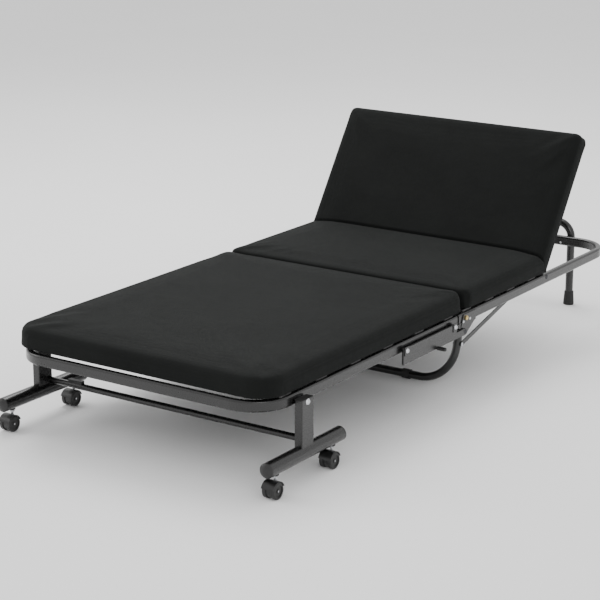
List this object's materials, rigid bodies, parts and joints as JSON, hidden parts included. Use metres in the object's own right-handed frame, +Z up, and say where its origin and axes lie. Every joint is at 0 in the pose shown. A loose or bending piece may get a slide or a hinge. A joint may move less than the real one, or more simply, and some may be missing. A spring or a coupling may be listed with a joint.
{
  "type": "folding cot",
  "caption": "Folding bed with a tubular steel frame, three-section mattress, reclining backrest, folding centre leg and a wheeled stand.",
  "frame": {"origin": "on the floor, at the centre of the bounding box in plan", "axes": "+X across the bed, +Y from the foot end to the head end, +Z up"},
  "size_m": [0.9604, 2.1308, 0.6897],
  "materials": {
    "black_steel": "black powder coat, semi-gloss",
    "leg_steel": "black powder coat, satin",
    "dark_steel": "blackened steel",
    "zinc_steel": "bright zinc plate",
    "gold_zinc": "yellow zinc plate",
    "black_plastic": "moulded, fine grain",
    "hood_plastic": "moulded, satin",
    "wheel_plastic": "moulded nylon",
    "black_rubber": "matt",
    "slat_steel": "black powder coat, satin",
    "cover_fabric": "black woven polyester cover"
  },
  "bodies": {
    "stand": {"stand_upright_right": "black_steel", "stand_upright_left": "black_steel", "base_tube_right": "black_steel", "base_tube_left": "black_steel", "base_end_caps": "black_plastic", "base_screws": "zinc_steel", "upright_caps": "black_plastic", "stand_cross_tube": "black_steel", "cross_tube_rest": "black_plastic", "stand_pivot_bolts": "zinc_steel", "caster_sockets": "black_plastic"},
    "foot_frame": {"foot_frame_tube": "black_steel", "foot_cross_tubes": "black_steel", "foot_slats": "slat_steel", "foot_mattress": "cover_fabric", "foot_rail_plugs": "black_plastic", "pivot_bushes": "black_plastic", "link_plate_right": "black_steel", "link_plate_left": "black_steel", "link_spacers": "black_plastic", "link_washers": "black_steel", "link_bolts": "zinc_steel", "lift_pegs": "black_steel", "hinge_pins": "dark_steel"},
    "head_frame": {"head_frame_tube": "black_steel", "head_cross_tubes": "black_steel", "seat_slats": "slat_steel", "seat_mattress": "cover_fabric", "head_rail_plugs": "black_plastic", "hinge_bracket_right": "black_steel", "hinge_bracket_left": "black_steel", "bracket_bolts": "gold_zinc", "bracket_screws": "zinc_steel", "leg_pivot_bolts": "dark_steel", "recline_bolts": "dark_steel", "recline_ratchets": "dark_steel", "brace_guides": "black_steel", "head_leg_hoop": "black_steel", "hoop_bolts": "zinc_steel", "head_leg_feet": "black_rubber"},
    "centre_leg": {"centre_leg_tube": "leg_steel", "centre_leg_pads": "black_rubber", "brace_rivets": "zinc_steel"},
    "brace": {"brace_bars": "black_steel"},
    "backrest": {"backrest_frame_tube": "black_steel", "backrest_ear_plates": "black_steel", "backrest_slats": "slat_steel", "backrest_mattress": "cover_fabric"},
    "caster_foot_left": {"caster_hood_foot_left": "hood_plastic", "caster_pins_foot_left": "zinc_steel"},
    "wheels_foot_left": {"caster_wheels_foot_left": "wheel_plastic"},
    "caster_head_left": {"caster_hood_head_left": "hood_plastic", "caster_pins_head_left": "zinc_steel"},
    "wheels_head_left": {"caster_wheels_head_left": "wheel_plastic"},
    "caster_foot_right": {"caster_hood_foot_right": "hood_plastic", "caster_pins_foot_right": "zinc_steel"},
    "wheels_foot_right": {"caster_wheels_foot_right": "wheel_plastic"},
    "caster_head_right": {"caster_hood_head_right": "hood_plastic", "caster_pins_head_right": "zinc_steel"},
    "wheels_head_right": {"caster_wheels_head_right": "wheel_plastic"}
  },
  "joints": [
    {"name": "fold", "type": "hinge", "parent": "stand", "child": "foot_frame", "pos_m": [0, -0.8835, 0.226], "axis": [1, 0, 0], "range_deg": [0, 84]},
    {"name": "centre_fold", "type": "hinge", "parent": "foot_frame", "child": "head_frame", "pos_m": [0, -0.0135, 0.196], "axis": [1, 0, 0], "range_deg": [-168, 0]},
    {"name": "centre_leg_fold", "type": "hinge", "parent": "head_frame", "child": "centre_leg", "pos_m": [0, 0.0565, 0.204], "axis": [1, 0, 0], "range_deg": [0, 102]},
    {"name": "brace_fold", "type": "hinge", "parent": "centre_leg", "child": "brace", "pos_m": [0, 0.04174, 0.13455], "axis": [1, 0, 0], "range_deg": [-114.61, 0]},
    {"name": "recline", "type": "hinge", "parent": "head_frame", "child": "backrest", "pos_m": [0, 0.5375, 0.24], "axis": [1, 0, 0], "range_deg": [-56, 15]},
    {"name": "swivel_foot_left", "type": "hinge", "parent": "stand", "child": "caster_foot_left", "pos_m": [-0.4592, -1.0175, 0.05], "axis": [0, 0, 1], "continuous": true},
    {"name": "spin_foot_left", "type": "hinge", "parent": "caster_foot_left", "child": "wheels_foot_left", "pos_m": [-0.4592, -1.0295, 0.023], "axis": [1, 0, 0], "continuous": true},
    {"name": "swivel_head_left", "type": "hinge", "parent": "stand", "child": "caster_head_left", "pos_m": [-0.4592, -0.7495, 0.05], "axis": [0, 0, 1], "continuous": true},
    {"name": "spin_head_left", "type": "hinge", "parent": "caster_head_left", "child": "wheels_head_left", "pos_m": [-0.4592, -0.7615, 0.023], "axis": [1, 0, 0], "continuous": true},
    {"name": "swivel_foot_right", "type": "hinge", "parent": "stand", "child": "caster_foot_right", "pos_m": [0.4592, -1.0175, 0.05], "axis": [0, 0, 1], "continuous": true},
    {"name": "spin_foot_right", "type": "hinge", "parent": "caster_foot_right", "child": "wheels_foot_right", "pos_m": [0.4592, -1.0295, 0.023], "axis": [1, 0, 0], "continuous": true},
    {"name": "swivel_head_right", "type": "hinge", "parent": "stand", "child": "caster_head_right", "pos_m": [0.4592, -0.7495, 0.05], "axis": [0, 0, 1], "continuous": true},
    {"name": "spin_head_right", "type": "hinge", "parent": "caster_head_right", "child": "wheels_head_right", "pos_m": [0.4592, -0.7615, 0.023], "axis": [1, 0, 0], "continuous": true}
  ],
  "couplings": [
    {"joint": "centre_fold", "follows": "fold", "ratio": -2},
    {"joint": "centre_leg_fold", "follows": "fold", "ratio": 1.2143},
    {"joint": "brace_fold", "follows": "fold", "ratio": -1.3643}
  ]
}
